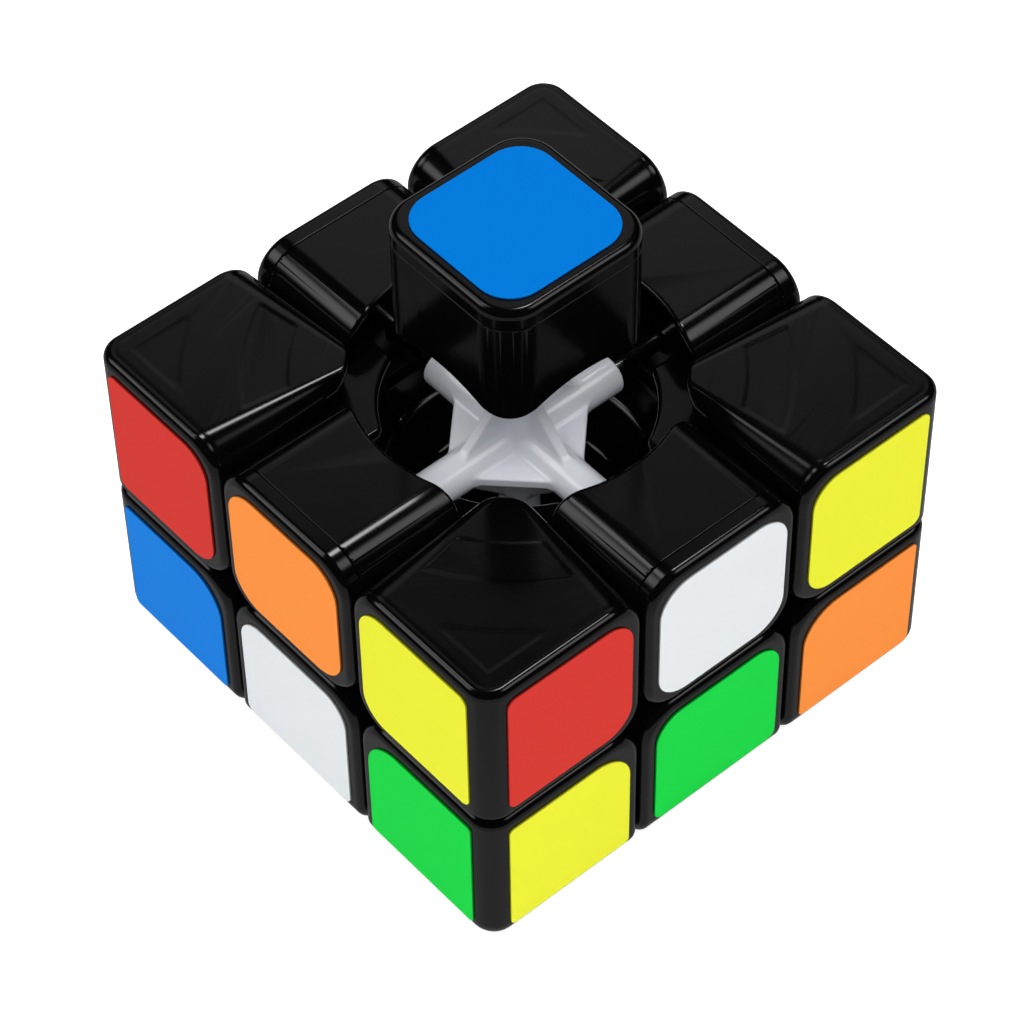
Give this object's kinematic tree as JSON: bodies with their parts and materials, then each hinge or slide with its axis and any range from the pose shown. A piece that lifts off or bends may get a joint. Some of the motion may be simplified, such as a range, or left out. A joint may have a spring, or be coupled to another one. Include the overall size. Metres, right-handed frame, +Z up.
{
  "type": "twisty puzzle cube",
  "caption": "Twisty puzzle cube opened up: white six-armed core, turning centres, middle edges and bottom layer in gloss black with coloured stickers; outer pieces of the top layer taken off",
  "frame": {"origin": "middle of the cube's bottom face, on the surface that it stands on", "axes": "+Z is up through the top centre, -Y is the front face (orange centre), +X is the right face (white centre)"},
  "size_m": [0.056, 0.056, 0.056],
  "materials": {
    "black_plastic": "glossy injection-moulded ABS",
    "core_plastic": "milky white moulded plastic, satin gloss",
    "steel": "bright zinc-plated steel",
    "sticker_red": "satin vinyl sticker, red",
    "sticker_orange": "satin vinyl sticker, orange",
    "sticker_yellow": "satin vinyl sticker, yellow",
    "sticker_green": "satin vinyl sticker, green",
    "sticker_blue": "satin vinyl sticker, blue",
    "sticker_white": "satin vinyl sticker, white"
  },
  "bodies": {
    "core_unit": {"core": "core_plastic", "top_centre_screw": "steel", "bottom_centre_screw": "steel", "front_centre_screw": "steel", "back_centre_screw": "steel", "left_centre_screw": "steel", "right_centre_screw": "steel"},
    "top_centre": {"top_centre_housing": "black_plastic", "top_centre_cap": "black_plastic", "top_centre_spring": "steel", "top_centre_sticker": "sticker_blue"},
    "bottom_centre": {"bottom_centre_housing": "black_plastic", "bottom_centre_cap": "black_plastic", "bottom_centre_spring": "steel", "bottom_centre_sticker": "sticker_green"},
    "front_centre": {"front_centre_housing": "black_plastic", "front_centre_cap": "black_plastic", "front_centre_spring": "steel", "front_centre_sticker": "sticker_orange"},
    "back_centre": {"back_centre_housing": "black_plastic", "back_centre_cap": "black_plastic", "back_centre_spring": "steel", "back_centre_sticker": "sticker_red"},
    "left_centre": {"left_centre_housing": "black_plastic", "left_centre_cap": "black_plastic", "left_centre_spring": "steel", "left_centre_sticker": "sticker_yellow"},
    "right_centre": {"right_centre_housing": "black_plastic", "right_centre_cap": "black_plastic", "right_centre_spring": "steel", "right_centre_sticker": "sticker_white"},
    "front_right_edge": {"front_right_edge_block": "black_plastic", "front_right_edge_sticker_front": "sticker_yellow", "front_right_edge_sticker_right": "sticker_red"},
    "front_left_edge": {"front_left_edge_block": "black_plastic", "front_left_edge_sticker_front": "sticker_red"},
    "back_right_edge": {"back_right_edge_block": "black_plastic", "back_right_edge_sticker_right": "sticker_yellow"},
    "back_left_edge": {"back_left_edge_block": "black_plastic"},
    "front_bottom_edge": {"front_bottom_edge_block": "black_plastic", "front_bottom_edge_sticker_front": "sticker_white"},
    "right_bottom_edge": {"right_bottom_edge_block": "black_plastic", "right_bottom_edge_sticker_right": "sticker_green"},
    "back_bottom_edge": {"back_bottom_edge_block": "black_plastic"},
    "left_bottom_edge": {"left_bottom_edge_block": "black_plastic"},
    "front_right_bottom_corner": {"front_right_bottom_corner_block": "black_plastic", "front_right_bottom_corner_sticker_front": "sticker_green", "front_right_bottom_corner_sticker_right": "sticker_yellow", "front_right_bottom_corner_sticker_bottom": "sticker_orange"},
    "front_left_bottom_corner": {"front_left_bottom_corner_block": "black_plastic", "front_left_bottom_corner_sticker_front": "sticker_blue", "front_left_bottom_corner_sticker_bottom": "sticker_white"},
    "back_right_bottom_corner": {"back_right_bottom_corner_block": "black_plastic", "back_right_bottom_corner_sticker_right": "sticker_orange", "back_right_bottom_corner_sticker_bottom": "sticker_blue"},
    "back_left_bottom_corner": {"back_left_bottom_corner_block": "black_plastic", "back_left_bottom_corner_sticker_bottom": "sticker_red"}
  },
  "joints": [
    {"name": "top_turn", "type": "hinge", "parent": "core_unit", "child": "top_centre", "pos_m": [0, 0, 0.028], "axis": [0, 0, 1], "continuous": true},
    {"name": "bottom_turn", "type": "hinge", "parent": "core_unit", "child": "bottom_centre", "pos_m": [0, 0, 0.028], "axis": [0, 0, -1], "continuous": true},
    {"name": "front_turn", "type": "hinge", "parent": "core_unit", "child": "front_centre", "pos_m": [0, 0, 0.028], "axis": [0, -1, 0], "continuous": true},
    {"name": "back_turn", "type": "hinge", "parent": "core_unit", "child": "back_centre", "pos_m": [0, 0, 0.028], "axis": [0, 1, 0], "continuous": true},
    {"name": "left_turn", "type": "hinge", "parent": "core_unit", "child": "left_centre", "pos_m": [0, 0, 0.028], "axis": [-1, 0, 0], "continuous": true},
    {"name": "right_turn", "type": "hinge", "parent": "core_unit", "child": "right_centre", "pos_m": [0, 0, 0.028], "axis": [1, 0, 0], "continuous": true},
    {"name": "front_right_edge_with_front", "type": "hinge", "parent": "right_centre", "child": "front_right_edge", "pos_m": [0, 0, 0.028], "axis": [0, -1, 0], "continuous": true},
    {"name": "front_left_edge_with_front", "type": "hinge", "parent": "left_centre", "child": "front_left_edge", "pos_m": [0, 0, 0.028], "axis": [0, -1, 0], "continuous": true},
    {"name": "back_right_edge_with_back", "type": "hinge", "parent": "right_centre", "child": "back_right_edge", "pos_m": [0, 0, 0.028], "axis": [0, 1, 0], "continuous": true},
    {"name": "back_left_edge_with_back", "type": "hinge", "parent": "left_centre", "child": "back_left_edge", "pos_m": [0, 0, 0.028], "axis": [0, 1, 0], "continuous": true},
    {"name": "front_bottom_edge_with_front", "type": "hinge", "parent": "bottom_centre", "child": "front_bottom_edge", "pos_m": [0, 0, 0.028], "axis": [0, -1, 0], "continuous": true},
    {"name": "right_bottom_edge_with_right", "type": "hinge", "parent": "bottom_centre", "child": "right_bottom_edge", "pos_m": [0, 0, 0.028], "axis": [1, 0, 0], "continuous": true},
    {"name": "back_bottom_edge_with_back", "type": "hinge", "parent": "bottom_centre", "child": "back_bottom_edge", "pos_m": [0, 0, 0.028], "axis": [0, 1, 0], "continuous": true},
    {"name": "left_bottom_edge_with_left", "type": "hinge", "parent": "bottom_centre", "child": "left_bottom_edge", "pos_m": [0, 0, 0.028], "axis": [-1, 0, 0], "continuous": true},
    {"name": "front_right_bottom_corner_with_front", "type": "hinge", "parent": "right_bottom_edge", "child": "front_right_bottom_corner", "pos_m": [0, 0, 0.028], "axis": [0, -1, 0], "continuous": true},
    {"name": "front_left_bottom_corner_with_front", "type": "hinge", "parent": "left_bottom_edge", "child": "front_left_bottom_corner", "pos_m": [0, 0, 0.028], "axis": [0, -1, 0], "continuous": true},
    {"name": "back_right_bottom_corner_with_back", "type": "hinge", "parent": "right_bottom_edge", "child": "back_right_bottom_corner", "pos_m": [0, 0, 0.028], "axis": [0, 1, 0], "continuous": true},
    {"name": "back_left_bottom_corner_with_back", "type": "hinge", "parent": "left_bottom_edge", "child": "back_left_bottom_corner", "pos_m": [0, 0, 0.028], "axis": [0, 1, 0], "continuous": true}
  ],
  "couplings": [
    {"joint": "front_right_edge_with_front", "follows": "front_turn", "ratio": 1},
    {"joint": "front_left_edge_with_front", "follows": "front_turn", "ratio": 1},
    {"joint": "back_right_edge_with_back", "follows": "back_turn", "ratio": 1},
    {"joint": "back_left_edge_with_back", "follows": "back_turn", "ratio": 1},
    {"joint": "front_bottom_edge_with_front", "follows": "front_turn", "ratio": 1},
    {"joint": "right_bottom_edge_with_right", "follows": "right_turn", "ratio": 1},
    {"joint": "back_bottom_edge_with_back", "follows": "back_turn", "ratio": 1},
    {"joint": "left_bottom_edge_with_left", "follows": "left_turn", "ratio": 1},
    {"joint": "front_right_bottom_corner_with_front", "follows": "front_turn", "ratio": 1},
    {"joint": "front_left_bottom_corner_with_front", "follows": "front_turn", "ratio": 1},
    {"joint": "back_right_bottom_corner_with_back", "follows": "back_turn", "ratio": 1},
    {"joint": "back_left_bottom_corner_with_back", "follows": "back_turn", "ratio": 1}
  ]
}
